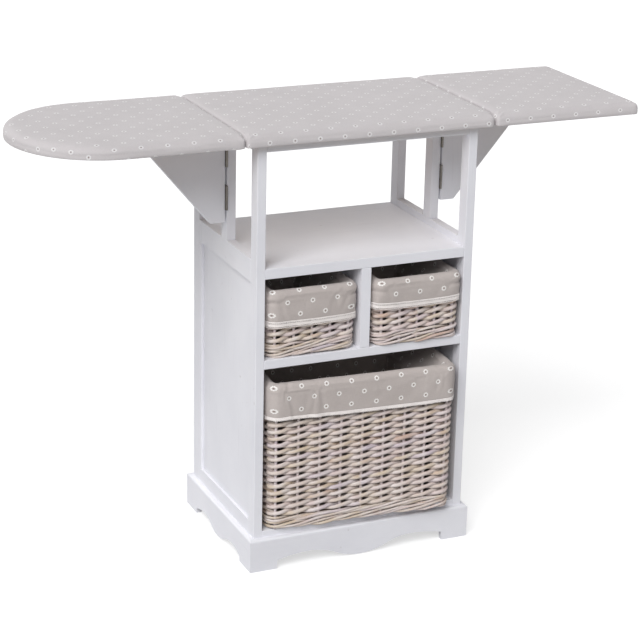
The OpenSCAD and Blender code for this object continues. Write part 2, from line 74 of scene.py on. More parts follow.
class Mat:
    """A node material, written as short calls that return sockets."""

    def __init__(self, name, **shader):
        self.m = bpy.data.materials.new(name)
        self.m.use_nodes = True
        self.t = self.m.node_tree
        self.bsdf = self.t.nodes["Principled BSDF"]
        for key, value in shader.items():
            self.bsdf.inputs[key.replace("_", " ")].default_value = value

    def node(self, kind, props=(), **inputs):
        n = self.t.nodes.new("ShaderNode" + kind)
        for key, value in dict(props).items():
            setattr(n, key, value)
        for key, value in inputs.items():
            self.put(n.inputs[int(key[1:]) if key[1:].isdigit() else key], value)
        return n

    def put(self, socket, value):
        if isinstance(value, bpy.types.NodeSocket):
            self.t.links.new(value, socket)
        else:
            socket.default_value = value

    def math(self, op, a, b=0.0, c=0.0):
        return self.node("Math", {"operation": op}, _0=a, _1=b, _2=c).outputs[0]

    def coords(self, scale=(1, 1, 1), uv=False):
        c = self.node("TexCoord").outputs["UV" if uv else "Object"]
        return self.node("Mapping", Vector=c, Scale=scale).outputs[0]

    def noise(self, vector, scale, detail=3.0, rough=0.5, out="Fac"):
        return self.node("TexNoise", Vector=vector, Scale=scale, Detail=detail, Roughness=rough).outputs[out]

    def span(self, value, a, b, c=0.0, d=1.0):
        return self.node("MapRange", Value=value, _1=a, _2=b, _3=c, _4=d).outputs[0]

    def mix(self, fac, a, b):
        n = self.node("Mix", {"data_type": "RGBA"})
        for i, v in ((0, fac), (6, a), (7, b)):
            self.put(n.inputs[i], (*v, 1) if isinstance(v, tuple) and len(v) == 3 else v)
        return n.outputs[2]

    def ramp(self, fac, *stops):
        n = self.node("ValToRGB", Fac=fac)
        e = n.color_ramp.elements
        while len(e) < len(stops):
            e.new(0.5)
        for x, (p, c) in zip(e, stops):
            x.position, x.color = p, (*c, 1)
        return n.outputs[0]

    def base(self, colour):
        self.put(self.bsdf.inputs["Base Color"], colour)

    def rough(self, value):
        self.put(self.bsdf.inputs["Roughness"], value)

    def bump(self, *heights):
        """Each height is (value, distance in metres)."""
        last = None
        for h, d in heights:
            n = self.node("Bump", Strength=1.0, Distance=d, Height=h)
            if last:
                self.put(n.inputs["Normal"], last)
            last = n.outputs[0]
        self.put(self.bsdf.inputs["Normal"], last)


def srgb(r, g, b):
    return tuple((c / 255 / 12.92) if c <= 10 else ((c / 255 + 0.055) / 1.055) ** 2.4 for c in (r, g, b))


def paint(name, grain):
    """Satin paint over wood whose grain runs along one axis."""
    m = Mat(name, Specular_IOR_Level=0.2)
    along = {"x": (6, 150, 150), "y": (150, 6, 150), "z": (150, 150, 6)}[grain]
    fibres = m.noise(m.coords(along), 1.0, 5, 0.6)
    blotch = m.noise(m.coords(), 7.0, 4, 0.55)
    spots = m.noise(m.coords(), 60.0, 2, 0.5)
    tone = m.mix(m.span(blotch, 0.3, 0.7), srgb(230, 230, 236), srgb(238, 238, 243))
    tone = m.mix(m.span(fibres, 0.62, 0.8, 0, 0.35), tone, srgb(212, 210, 216))
    m.base(m.mix(m.span(spots, 0.72, 0.8, 0, 0.5), tone, srgb(200, 196, 198)))
    m.rough(m.span(blotch, 0.3, 0.7, 0.5, 0.64))
    m.bump((fibres, 0.0003), (m.noise(m.coords(), 320.0, 2, 0.6), 0.00008))
    return m.m


def bare_wood():
    m = Mat("bare board", Roughness=0.75)
    g = m.noise(m.coords((5, 90, 90)), 1.0, 6, 0.6)
    m.base(m.ramp(g, (0.3, srgb(150, 118, 84)), (0.7, srgb(196, 166, 128))))
    m.bump((g, 0.0004))
    return m.m


# Hardboard for the back: a brown board darkened to near black as painted shade, so the deep bays read dark.
def hardboard_painted_shade():
    m = Mat("back board painted shade", Roughness=0.8)
    g = m.noise(m.coords(), 260.0, 4, 0.7)
    m.base(m.ramp(g, (0.3, srgb(40, 31, 28)), (0.75, srgb(66, 54, 48))))
    m.bump((g, 0.0004))
    return m.m


PETAL_REACH, RING_START, RING_FULL = 0.0052, 0.0021, 0.0027
MIDDLE_EDGE, MIDDLE_FULL = 0.0014, 0.0008


def daisies(m, uv, rows, along):
    """(white petals, dark middles) of small daisies in staggered rows, from a map in metres."""
    x = m.node("SeparateXYZ", Vector=uv).outputs
    j = m.math("FLOOR", m.math("ADD", m.math("DIVIDE", x[1], rows), 0.5))
    v = m.math("SUBTRACT", x[1], m.math("MULTIPLY", j, rows))
    shift = m.math("MULTIPLY", m.math("FLOORED_MODULO", j, 2.0), along / 2)
    i = m.math("FLOOR", m.math("ADD", m.math("DIVIDE", m.math("SUBTRACT", x[0], shift), along), 0.5))
    u = m.math("SUBTRACT", m.math("SUBTRACT", x[0], shift), m.math("MULTIPLY", i, along))
    r = m.math("SQRT", m.math("ADD", m.math("MULTIPLY", u, u), m.math("MULTIPLY", v, v)))
    turn = m.math("ADD", m.math("MULTIPLY", i, 1.7), m.math("MULTIPLY", j, 2.3))
    a = m.math("ADD", m.math("ARCTAN2", v, u), turn)
    petal = m.math("POWER", m.math("ABSOLUTE", m.math("COSINE", m.math("MULTIPLY", a, 4.5))), 0.45)
    reach = m.math("MULTIPLY", m.math("ADD", m.math("MULTIPLY", petal, 0.36), 0.64), PETAL_REACH)
    white = m.span(m.math("SUBTRACT", reach, r), -0.0002, 0.0003)
    ring = m.span(r, RING_START, RING_FULL)
    return m.math("MULTIPLY", white, ring), m.span(r, MIDDLE_EDGE, MIDDLE_FULL)


def cloth(name, low, high, petals, rows=0.0245, along=0.05):
    """Woven cotton with printed daisies. Its map is in metres."""
    m = Mat(name, Roughness=0.85, Specular_IOR_Level=0.2, Sheen_Weight=0.15, Sheen_Roughness=0.5)
    uv = m.node("UVMap").outputs[0]
    warp = m.noise(m.node("Mapping", Vector=uv, Scale=(2600, 90, 1)).outputs[0], 1.0, 2, 0.5)
    weft = m.noise(m.node("Mapping", Vector=uv, Scale=(90, 2600, 1)).outputs[0], 1.0, 2, 0.5)
    thread = m.math("ADD", warp, weft)
    soft = m.noise(m.coords(), 14.0, 3, 0.5)
    tone = m.math("ADD", m.math("MULTIPLY", m.span(thread, 0.7, 1.3), 0.5), m.math("MULTIPLY", soft, 0.5))
    white, dark = daisies(m, uv, rows, along)
    c = m.mix(m.span(tone, 0.25, 0.75), low, high)
    c = m.mix(m.math("MULTIPLY", white, 0.92), c, petals)
    m.base(m.mix(m.math("MULTIPLY", dark, 0.85), c, srgb(104, 78, 70)))
    m.bump((thread, 0.00012), (m.noise(m.coords(), 45.0, 3, 0.5), 0.0006))
    return m.m


def willow():
    """Whitewashed rods: a tone for each, streaks along it and nodes across it."""
    m = Mat("willow", Roughness=0.62, Specular_IOR_Level=0.3)
    uv = m.node("UVMap").outputs[0]
    tone = m.node("Attribute", {"attribute_name": "tone"}).outputs["Fac"]
    streak = m.noise(m.node("Mapping", Vector=uv, Scale=(35, 900, 1)).outputs[0], 1.0, 4, 0.6)
    patch = m.noise(m.node("Mapping", Vector=uv, Scale=(28, 60, 1)).outputs[0], 1.0, 3, 0.5)
    wood = m.ramp(tone, (0.0, srgb(196, 164, 150)), (0.25, srgb(208, 191, 166)), (0.5, srgb(215, 201, 190)),
                  (0.75, srgb(213, 196, 192)), (1.0, srgb(199, 188, 199)))
    wood = m.mix(m.span(streak, 0.45, 0.75, 0, 0.5), wood, srgb(160, 132, 116))
    m.base(m.mix(m.span(patch, 0.42, 0.62, 0.1, 0.75), wood, srgb(226, 218, 216)))
    m.bump((streak, 0.0004))
    return m.m


def lace_thread():
    m = Mat("lace", Roughness=0.9, Sheen_Weight=0.1)
    n = m.noise(m.coords(), 900.0, 2, 0.5)
    m.base(m.ramp(n, (0.3, srgb(236, 229, 226)), (0.7, srgb(252, 247, 244))))
    m.bump((n, 0.0003))
    return m.m


def steel():
    m = Mat("hinge steel", Metallic=1.0)
    n = m.noise(m.coords((40, 900, 40)), 1.0, 4, 0.6)
    m.base(m.ramp(n, (0.2, srgb(88, 84, 80)), (0.8, srgb(128, 124, 118))))
    m.rough(m.span(n, 0, 1, 0.3, 0.5))
    m.bump((n, 0.0001))
    return m.m


def felt():
    m = Mat("felt", Roughness=0.95, Sheen_Weight=0.3)
    n = m.noise(m.coords(), 1500.0, 3, 0.7)
    m.base(m.ramp(n, (0.2, srgb(70, 68, 66)), (0.8, srgb(112, 110, 108))))
    m.bump((n, 0.0005))
    return m.m


PAINT = {a: paint("paint " + a, a) for a in "xyz"}
BARE, BACK_PAINTED_SHADE, WILLOW, LACE, STEEL, FELT = bare_wood(), hardboard_painted_shade(), willow(), lace_thread(), steel(), felt()
COVER = cloth("cover cotton", srgb(201, 196, 197), srgb(211, 206, 207), srgb(234, 232, 232))
LINEN = cloth("liner cotton", srgb(184, 175, 171), srgb(197, 188, 184), srgb(246, 243, 240), 0.0234, 0.051)


# Boards and fittings, straight from the CAD: eased edges and paint along the grain

BOARD_EASE, FELT_EASE, PLATE_EASE = 0.0012, 0.0008, 0.0002
WELD_GAP = 0.00002

for name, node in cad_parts.items():
    if name.startswith(("pad_", "liner_", "lace_", "weave_")):
        continue
    low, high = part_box(name)
    size = high - low
    if "plates" in name:
        mat, ease = STEEL, PLATE_EASE
    elif name.startswith("bumper"):
        mat, ease = FELT, FELT_EASE
    elif name in ("deck", "leaf_left", "leaf_right"):
        mat, ease = BARE, 0
    # The back panel's near-black colour is painted shade for the bays.
    elif name == "back_panel":
        mat, ease = BACK_PAINTED_SHADE, 0
    elif name.startswith("base"):
        mat, ease = WILLOW, 0
    elif "shelf" in name and not name.startswith("rail"):
        mat, ease = PAINT["x"], BOARD_EASE
    else:
        longest = max(range(3), key=lambda i: size[i])
        mat, ease = PAINT["xyz"[longest]], BOARD_EASE
    node.data.materials.clear()
    node.data.materials.append(mat)
    if ease:
        weld = node.modifiers.new("weld", "WELD")
        weld.merge_threshold = WELD_GAP
        edge = node.modifiers.new("edge", "BEVEL")
        edge.width, edge.segments = ease, 3
        edge.limit_method, edge.angle_limit = "ANGLE", math.radians(35)
        edge.use_clamp_overlap = True
        edge.harden_normals = True


# Meshes


def build(name, points, faces, mat, uv=None, tone=None, smooth=True):
    """A mesh object. uv and tone are given for each point."""
    me = bpy.data.meshes.new(name)
    me.from_pydata([tuple(p) for p in points], [], faces)
    me.materials.append(mat)
    if smooth:
        me.shade_smooth()
    if uv is not None:
        loops = np.zeros(len(me.loops), int)
        me.loops.foreach_get("vertex_index", loops)
        me.uv_layers.new(name="UVMap").data.foreach_set("uv", np.asarray(uv, float)[loops].ravel())
    if tone is not None:
        me.attributes.new("tone", "FLOAT", "POINT").data.foreach_set("value", np.asarray(tone, float))
    o = bpy.data.objects.new(name, me)
    scene.collection.objects.link(o)
    return o


class Heap:
    """Collects tubes into one mesh."""

    def __init__(self):
        self.points, self.faces, self.uv, self.tone, self.count = [], [], [], [], 0

    def tube(self, path, radius, sides=8, closed=False, tone=0.5, side=None):
        """A tube along a path of points; radius is a number or one for each point."""
        p = np.asarray(path, float)
        n = len(p)
        r = np.broadcast_to(np.asarray(radius, float), (n,))
        t = (np.roll(p, -1, 0) - np.roll(p, 1, 0)) if closed else np.gradient(p, axis=0)
        t /= np.linalg.norm(t, axis=1)[:, None] + 1e-12
        ref = np.broadcast_to(np.array((0, 0, 1.0)) if side is None else np.asarray(side, float), t.shape)
        a = np.cross(t, ref)
        a /= np.linalg.norm(a, axis=1)[:, None] + 1e-12
        b = np.cross(a, t)
        ang = np.arange(sides) * 2 * math.pi / sides
        ring = p[:, None] + r[:, None, None] * (
            a[:, None] * np.cos(ang)[None, :, None] + b[:, None] * np.sin(ang)[None, :, None])
        run = np.concatenate([[0], np.cumsum(np.linalg.norm(np.diff(p, axis=0), axis=1))])
        off = rng.random() * 7
        uv = np.stack([np.repeat(run + off, sides), np.tile(ang * 0.0035, n)], 1)
        base = self.count
        for i in range(n if closed else n - 1):
            i1 = (i + 1) % n
            for k in range(sides):
                k1 = (k + 1) % sides
                self.faces.append((base + i * sides + k, base + i1 * sides + k,
                                   base + i1 * sides + k1, base + i * sides + k1))
        if not closed:
            self.faces.append(tuple(base + k for k in range(sides)))
            self.faces.append(tuple(base + (n - 1) * sides + k for k in reversed(range(sides))))
        self.points.append(ring.reshape(-1, 3))
        self.uv.append(uv)
        self.tone.append(np.repeat(np.broadcast_to(np.asarray(tone, float), (n,)), sides))
        self.count += n * sides

    def object(self, name, mat):
        return build(name, np.concatenate(self.points), self.faces, mat,
                     np.concatenate(self.uv), np.concatenate(self.tone))


# Baskets, in millimetres about their own middle; n is the distance out from the stakes

CORNER, LEAST_BEND = 14.0, 4
ROD, STAKE, BAND = 4.0, 3.0, 4
FLAP_IN, WALL_IN, CLOTH = 10.2, 9.2, 2.0
RIM_OUT, TAPER = 13.7, 1.0
BASKETS = {
    "big": dict(w=400, d=290, h=306, at=(2.5, -46.5, 81), turn=-3.2, stakes=28, row=14.3, rows=14,
                flap=66, lace=7, phase=(2, 10.3)),
    "small_left": dict(w=196, d=250, h=135, at=(-108.4, -45.5, 436), turn=0, stakes=20, row=13.4, rows=3,
                       flap=57, lace=13, phase=(2, 10.8)),
    "small_right": dict(w=196, d=250, h=135, at=(110.8, -54, 436), turn=0, stakes=20, row=13.4, rows=4,
                        flap=44, lace=13, phase=(-1, 29.3)),
}


def half_sizes(b, z):
    inset = RIM_OUT + TAPER * (1 - np.asarray(z, float) / b["h"])
    return b["w"] / 2 - inset, b["d"] / 2 - inset


def around(b, share, n, z):
    """Points at a share of the way round, counted from the middle of the front."""
    share, n, z = np.broadcast_arrays(np.asarray(share, float), np.asarray(n, float), np.asarray(z, float))
    hx, hy = half_sizes(b, z)
    r = CORNER
    a, c, q = hx - r, hy - r, math.pi * r / 2
    bend = np.maximum(r + n, LEAST_BEND)
    ka, kc = hx + n - bend, hy + n - bend
    whole = 4 * (a + c) + 2 * math.pi * r
    t = (share * whole + a) % whole
    back = t >= whole / 2
    u = np.where(back, t - whole / 2, t)
    f1 = (u - 2 * a) / q * math.pi / 2 - math.pi / 2
    f2 = (u - 2 * a - q - 2 * c) / q * math.pi / 2
    where = [u < 2 * a, u < 2 * a + q, u < 2 * a + q + 2 * c]
    front, side = (u - a) * ka / a, (u - 2 * a - q - c) * kc / c
    x = np.select(where, [front, ka + bend * np.cos(f1), hx + n], ka + bend * np.cos(f2))
    y = np.select(where, [-hy - n, -kc + bend * np.sin(f1), side], kc + bend * np.sin(f2))
    sign = np.where(back, -1, 1)
    return np.stack([x * sign, y * sign, z], -1)


def whole_way(b, z):
    hx, hy = half_sizes(b, z)
    return 4 * (hx + hy - 2 * CORNER) + 2 * math.pi * CORNER


def place(b, points):
    """From a basket's own millimetres to the frame's metres."""
    a = math.radians(b["turn"])
    p = np.asarray(points, float)
    x = p[..., 0] * math.cos(a) - p[..., 1] * math.sin(a) + b["at"][0]
    y = p[..., 0] * math.sin(a) + p[..., 1] * math.cos(a) + b["at"][1]
    return np.stack([x, y, p[..., 2] + b["at"][2]], -1) * MM


def periodic(k, marks, period):
    """A smooth closed curve through marks (place, value...), by cubic Hermite pieces."""
    m = np.asarray(marks, float)
    x = np.concatenate([m[-2:, 0] - period, m[:, 0], m[:2, 0] + period])
    v = np.concatenate([m[-2:, 1:], m[:, 1:], m[:2, 1:]])
    i = np.clip(np.searchsorted(x, k, "right") - 1, 1, len(x) - 3)
    h = (x[i + 1] - x[i])[:, None]
    t = ((k - x[i]) / h[:, 0])[:, None]
    d0 = (v[i + 1] - v[i - 1]) / (x[i + 1] - x[i - 1])[:, None] * h
    d1 = (v[i + 2] - v[i]) / (x[i + 2] - x[i])[:, None] * h
    return ((2 * t**3 - 3 * t**2 + 1) * v[i] + (t**3 - 2 * t**2 + t) * d0
            + (-2 * t**3 + 3 * t**2) * v[i + 1] + (t**3 - t**2) * d1)


# Marks of the rods as (stakes on, distance out, height): the strong rods of the foot go in front of
# three stakes and behind one, the pairs above twist about each other between the stakes
FOOT_FIRST, FOOT_TALL, FOOT_RISE = 8.3, 13.0, 5.4
TWIST = ((-0.25, 5.0, -1.7), (0, 5.6, 0.3), (0.25, 5.0, 2.2), (0.5, 1.6, 3.7),
         (0.75, -2.9, 1.6), (1, -4.4, -0.8), (1.25, -2.9, -2.4), (1.5, 0.2, -3.7))


def weave(name, b):
    """The wicker of one basket: foot, twined rows, stakes and the band under the rim."""
    heap = Heap()
    count = b["stakes"]
    fine = 8
    k = np.arange(count * fine) / fine

    def rod(z, marks, radius):
        at = periodic(k, marks, count)
        thick = radius * (1 + 0.07 * np.sin(2 * math.pi * (k / count * rng.integers(3, 9) + rng.random())))
        tones = rng.random(count // 3 + 2)
        tone = np.interp(k, np.arange(len(tones)) * 3.3, tones)
        heap.tube(place(b, around(b, k / count, at[:, 0], z + at[:, 1])), thick * MM, 8, True, tone)

    def marks_round(start, step, pattern, out, up):
        """The pattern repeated round the basket, with small random shifts."""
        return sorted(((j + start + dk) % count, n + rng.normal(0, out), dz + rng.normal(0, up))
                      for j in range(0, count, step) for dk, n, dz in pattern)

    for course in range(2):
        rise = FOOT_RISE - course
        foot = ((0, 5.0, -rise), (1, 6.2, -0.3), (2, 5.0, rise), (3, -4.6, 0))
        for start in range(4):
            marks = marks_round(start, 4, foot, 0.9, 1.2)
            rod(FOOT_FIRST + course * FOOT_TALL, marks, 2.3 + 0.7 * rng.random())
    for i in range(b["rows"]):
        z = FOOT_FIRST + 2 * FOOT_TALL + i * b["row"]
        for start in range(2):
            rod(z, marks_round(start, 2, TWIST, 0.15, 0.25), ROD)
    z = np.linspace(1, b["h"] - CLOTH - 12, 12)
    for j in range(count):
        path = place(b, around(b, j / count, 2.3, z))
        heap.tube(path, STAKE * MM, 8, False, 0.8 + 0.2 * rng.random(), (0, 1, 0))
    share = np.arange(count * 4) / (count * 4)
    heap.tube(place(b, around(b, share, 0, b["h"] - CLOTH - 7)), BAND * MM, 8, True, 0.5)
    o = heap.object("wicker_" + name, WILLOW)
    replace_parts(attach(o, "basket_" + name), "weave_" + name)
    return o


# Tools for the soft pieces


def noise3(points, scale, seed=0.0):
    """Smooth noise at points, each coordinate first multiplied by scale."""
    q = np.asarray(points, float) * np.asarray(scale, float) + seed
    return np.array([noise.noise(Vector(v)) for v in q])


def coordinates(o):
    p = np.zeros(len(o.data.vertices) * 3)
    o.data.vertices.foreach_get("co", p)
    return p.reshape(-1, 3)


def move(o, points):
    o.data.vertices.foreach_set("co", np.asarray(points, np.float32).ravel())
    o.data.update()


def pin_group(o, indices):
    g = o.vertex_groups.new(name="pin")
    g.add([int(i) for i in indices], 1.0, "REPLACE")


def apply_modifiers(o):
    dg = bpy.context.evaluated_depsgraph_get()
    me = bpy.data.meshes.new_from_object(o.evaluated_get(dg))
    old = o.data
    o.modifiers.clear()
    o.data = me
    bpy.data.meshes.remove(old)


def simulate(o, frames, pressure=0.0, gravity=0.0, expand=0.0, bending=0.5, stiffness=15.0, gap=0.0015):
    """Runs Cloth on o and applies the result."""
    c = o.modifiers.new("cloth", "CLOTH")
    s = c.settings
    s.quality = 4
    s.mass = 0.15
    s.tension_stiffness = s.compression_stiffness = stiffness
    s.shear_stiffness = stiffness / 3
    s.bending_stiffness = bending
    s.vertex_group_mass = "pin"
    s.pin_stiffness = 1.0
    s.shrink_min = -expand
    s.air_damping = 2.0
    if pressure:
        s.use_pressure = True
        s.uniform_pressure_force = pressure
    s.effector_weights.gravity = gravity
    c.collision_settings.distance_min = gap
    c.collision_settings.use_self_collision = False
    c.collision_settings.collision_quality = 3
    scene.frame_start, scene.frame_end = 1, frames
    c.point_cache.frame_start, c.point_cache.frame_end = 1, frames
    for f in range(1, frames + 1):
        scene.frame_set(f)
    apply_modifiers(o)
    scene.frame_set(1)


# Padded boards: padding and a tight cover, swollen by simulation

BOARD_Z, TOP, Y0, Y1 = 0.858, 0.880, -0.186, 0.175
YM, HALF_Y = (Y0 + Y1) / 2, (Y1 - Y0) / 2
SEAM_IN, SEAM_OUT, RIGHT_END = 0.255, 0.258, 0.574
ROUND_X, ROUND_LONG, BEYOND = -0.480, 0.172, -0.9
LEFT_END = ROUND_X - ROUND_LONG
PLAN_CORNER, SEAM_CORNER, LEAST_CORNER = 0.009, 0.005, 0.002
STEP, ACROSS = 0.0042, 88
FAR_OFF = -9
SIDE, SEAM_SHARP = 0.022, 0.03
SWELL, FADE_START, FADE_LONG = 0.0010, 0.004, 0.02
LINE_RISE, CREASE_DEEP, SOFT_RISE, PLEAT_RISE = 0.0010, 0.0011, 0.0005, 0.0007
SLOPE, SEAM_SLOPE, SEAM_DIP = 0.03, 0.005, 0.45


def box_inset(x0, x1):
    """Distance in from the outline of a square board, and the way out."""
    c, half, r = np.array(((x0 + x1) / 2, YM)), np.array(((x1 - x0) / 2, HALF_Y)), PLAN_CORNER

    def inset(p):
        q = np.abs(p - c) - (half - r)
        m = np.maximum(q, 0)
        far = np.linalg.norm(m, axis=1)
        flat = np.stack([q[:, 0] >= q[:, 1], q[:, 0] < q[:, 1]], 1) * 1.0
        out = np.where(far[:, None] > 1e-9, m / (far[:, None] + 1e-12), flat)
        return -(far + np.minimum(q.max(1), 0) - r), out * np.sign(p - c)

    return inset


def round_inset(p):
    """The same for the left leaf, whose end is half an ellipse."""
    d, out = box_inset(BEYOND, -SEAM_OUT)(p)
    a, b = ROUND_LONG, HALF_Y
    e = np.stack([(p[:, 0] - ROUND_X) / a**2, (p[:, 1] - YM) / b**2], 1)
    s = np.sqrt(((p[:, 0] - ROUND_X) / a) ** 2 + ((p[:, 1] - YM) / b) ** 2)
    g = np.linalg.norm(e, axis=1)
    round_d = (1 - s) * s / np.maximum(g, 1e-9)
    use = p[:, 0] < ROUND_X
    return np.where(use, round_d, d), np.where(use[:, None], e / np.maximum(g, 1e-9)[:, None], out)


# Height, inset at a soft edge and inset at a seam, in millimetres
PAD_PROFILE = ((0.2, 3.6, 3.6), (0.3, 1.0, 1.0), (1.6, 0.3, 0.3), (5, 0.2, 0.2),
               (9, 0.2, 0.2), (13, 0.5, 0.2), (16.2, 1.3, 0.2), (18.8, 2.7, 0.4),
               (20.6, 4.8, 0.8), (21.4, 7.5, 1.6), (21.8, 11.5, 4), (21.9, 16, 8))


def board_points(u, v, level, x0, x1, seams):
    """Points at one level of the profile; u and v run from -1 to 1. Without x0 the left end is round."""
    z, a, c = PAD_PROFILE[level]
    hy = HALF_Y - a * MM
    y = hy * (np.sin(v * math.pi / 2) if x0 is None else v)
    near = np.clip((0.168 - np.abs(y)) / 0.016, 0, 1)
    left, right = (MM * (a + (c - a) * near * (x in seams)) for x in (x0, x1))
    low = x0 + left if x0 is not None else ROUND_X - (ROUND_LONG - a * MM) * np.cos(v * math.pi / 2)
    x = low + (x1 - right - low) * (u + 1) / 2
    from_seam = np.abs(x - x0 if x0 in seams else x - x1)
    r = np.maximum(np.where(from_seam < SEAM_SHARP, SEAM_CORNER, PLAN_CORNER) - a * MM, LEAST_CORNER)
    kx = np.clip(x, FAR_OFF if x0 is None else x0 + left + r, x1 - right - r)
    ky = np.clip(y, r - hy, hy - r)
    far = np.hypot(x - kx, y - ky)
    pull = np.where((x != kx) & (y != ky), r / np.maximum(far, r), 1)
    height = np.full_like(x, BOARD_Z + z * MM)
    return np.stack([kx + (x - kx) * pull, YM + ky + (y - ky) * pull, height], -1)


def board_mesh(x0, x1, seams):
    """Points and faces of a pad, loops up its side and a grid on top, and the points in a loop."""
    nu, nv = round((x1 - (x0 or LEFT_END)) / STEP), ACROSS
    u, v = np.meshgrid(np.linspace(-1, 1, nu + 1), np.linspace(-1, 1, nv + 1))
    index = np.arange(u.size).reshape(u.shape)
    ring = np.concatenate([index[0, :-1], index[:-1, -1], index[-1, :0:-1], index[:0:-1, 0]])
    n = len(ring)
    levels = len(PAD_PROFILE) - 1
    loops = [board_points(u.ravel()[ring], v.ravel()[ring], k, x0, x1, seams) for k in range(levels)]
    top = board_points(u.ravel(), v.ravel(), levels, x0, x1, seams)
    middle = np.ones(len(top), bool)
    middle[ring] = False
    top[middle, 2] = TOP
    turns = [np.arange(k * n, k * n + n) for k in range(levels)] + [levels * n + ring]
    faces = [(a[i], a[(i + 1) % n], b[(i + 1) % n], b[i])
             for a, b in zip(turns, turns[1:]) for i in range(n)]
    grid = levels * n + index
    faces += [(grid[j, i], grid[j, i + 1], grid[j + 1, i + 1], grid[j + 1, i])
              for j in range(nv) for i in range(nu)]
    return np.concatenate(loops + [top]), [tuple(int(q) for q in f) for f in faces], n


def swell(o, n, seams):
    """Swells the cover by simulation, by SWELL at most and not at the seams; its lowest loops are held."""
    start = coordinates(o)
    pin_group(o, range(2 * n))
    simulate(o, 8, pressure=4.0)
    gone = coordinates(o) - start
    far = np.linalg.norm(gone, axis=1)
    cap = np.full(len(start), SWELL)
    for x in seams:
        cap *= np.clip((np.abs(start[:, 0] - x) - FADE_START) / FADE_LONG, 0, 1)
    move(o, start + gone * np.minimum(1, cap / np.maximum(far, 1e-9))[:, None])


def wrinkles(p, d, drop, seams):
    """How far the cover stands out: lines along its side, a crease in it, pleats at the seams' corners."""
    free = np.ones(len(p))
    for x in seams:
        free *= np.clip((np.abs(p[:, 0] - x) - 0.002) / 0.012, 0, 1)
    rim = np.exp(-(((drop - 0.011) / 0.006) ** 2)) * free
    lines = noise3(p, (9, 9, 170), 3.1) + 0.6 * noise3(p, (22, 22, 260), 8.7)
    crease = -np.exp(-(((drop - 0.0125) / 0.0018) ** 2)) * np.clip(noise3(p, (3, 3, 0), 5.5) + 0.45, 0, 1)
    soft = noise3(p, (11, 11, 0), 1.9) * np.clip(d / 0.02, 0, 1)
    lift = LINE_RISE * rim * lines + CREASE_DEEP * crease * (d < 0.006) * free + SOFT_RISE * soft
    for x in seams:
        away = np.stack([p[:, 0] - x, p[:, 1] - Y0], 1)
        far = np.linalg.norm(away, axis=1)
        turn = np.arctan2(away[:, 1], np.abs(away[:, 0]))
        pleats = np.sin(turn * 13 + 40 * far) * np.exp(-(((far - 0.014) / 0.011) ** 2))
        lift += PLEAT_RISE * pleats * np.clip(far / 0.008 - 0.3, 0, 1)
    return lift


def bulge(p, x0, x1, inset, seams, crown):
    """How much higher the padding makes the top: less at the free edges, and a little less at a seam."""
    edge = np.min([np.abs(p[:, 0] - x) for x in seams], axis=0)
    inner = p[:, :2].copy()
    for x in seams:
        way = np.sign((x0 or LEFT_END) + x1 - 2 * x)
        inner[:, 0] = x + way * np.maximum(way * (inner[:, 0] - x), 0.1)
    from_edge = np.clip(inset(inner)[0], 0, 1)
    return crown * (1 - np.exp(-from_edge / SLOPE)) * (1 - SEAM_DIP * np.exp(-edge / SEAM_SLOPE))


def pad(name, body, node, x0, x1, inset, seams, shift, crown):
    """A pad and its cover from x0 to x1; shift moves the print, crown is the height of the bulge."""
    points, faces, n = board_mesh(x0, x1, seams)
    o = build(name, points, faces, COVER)
    swell(o, n, seams)
    sub = o.modifiers.new("fine", "SUBSURF")
    sub.levels = sub.render_levels = 1
    apply_modifiers(o)
    p = coordinates(o)
    d, out = inset(p[:, :2])
    drop = np.clip(TOP - p[:, 2], 0, SIDE)
    normals = np.zeros(len(p) * 3)
    o.data.vertices.foreach_get("normal", normals)
    dressed = p + normals.reshape(-1, 3) * wrinkles(p, d, drop, seams)[:, None]
    dressed[:, 2] += bulge(p, x0, x1, inset, seams, crown) * np.clip(1 - drop / 0.004, 0, 1)
    dressed[:, 2] = np.maximum(dressed[:, 2], BOARD_Z)
    move(o, dressed)
    uv = p[:, :2] + out * drop[:, None] * np.clip((0.03 - d) / 0.01, 0, 1)[:, None] + np.array(shift)
    loops = np.zeros(len(o.data.loops), int)
    o.data.loops.foreach_get("vertex_index", loops)
    o.data.uv_layers.new(name="UVMap").data.foreach_set("uv", uv[loops].ravel())
    o.data.shade_smooth()
    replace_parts(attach(o, body), node)
    return o


pad("cover_middle", "cabinet", "pad_middle", -SEAM_IN, SEAM_IN, box_inset(-SEAM_IN, SEAM_IN),
    (-SEAM_IN, SEAM_IN), (0.011, 0.004), 0.0035)
pad("cover_left", "leaf_left", "pad_left", None, -SEAM_OUT, round_inset,
    (-SEAM_OUT,), (0.031, 0.013), 0.003)
pad("cover_right", "leaf_right", "pad_right", SEAM_OUT, RIGHT_END, box_inset(SEAM_OUT, RIGHT_END),
    (SEAM_OUT,), (0.02, 0.0), 0.006)


# Liners: cloth that folds out over the rim, hung by simulation, with lace along the hem

FOUR_COLUMNS = 16
ARCH, ARCH_RISE = 14, 13.0
HANG_IN = 35.0
LINER_THICK = 0.0009
FOLD_RISE, FOLD_FINE, SMALL_FOLD = 2.4, 0.8, 0.6
OUT_FRONT, OUT_HIGH, OUT_HEM = 2.8, 1.0, 0.3
IN_HEM, IN_MORE = -0.7, 1.4
PLEAT_FROM, PLEAT_WIDE, PLEAT_IN, PLEAT_DOWN = 44, 4.0, 1.8, 1.5


def arch(H, count, inside=0.0, under=0.0):
    """Points over the rim as (distance out, height), outside first; inside and under make it smaller."""
    half, mid = (FLAP_IN + WALL_IN) / 2 + 1.0 - inside, (FLAP_IN - WALL_IN) / 2
    return [(mid + half * math.cos(a), H - ARCH + (ARCH_RISE - under) * math.sin(a))
            for a in np.linspace(0, math.pi, count)]


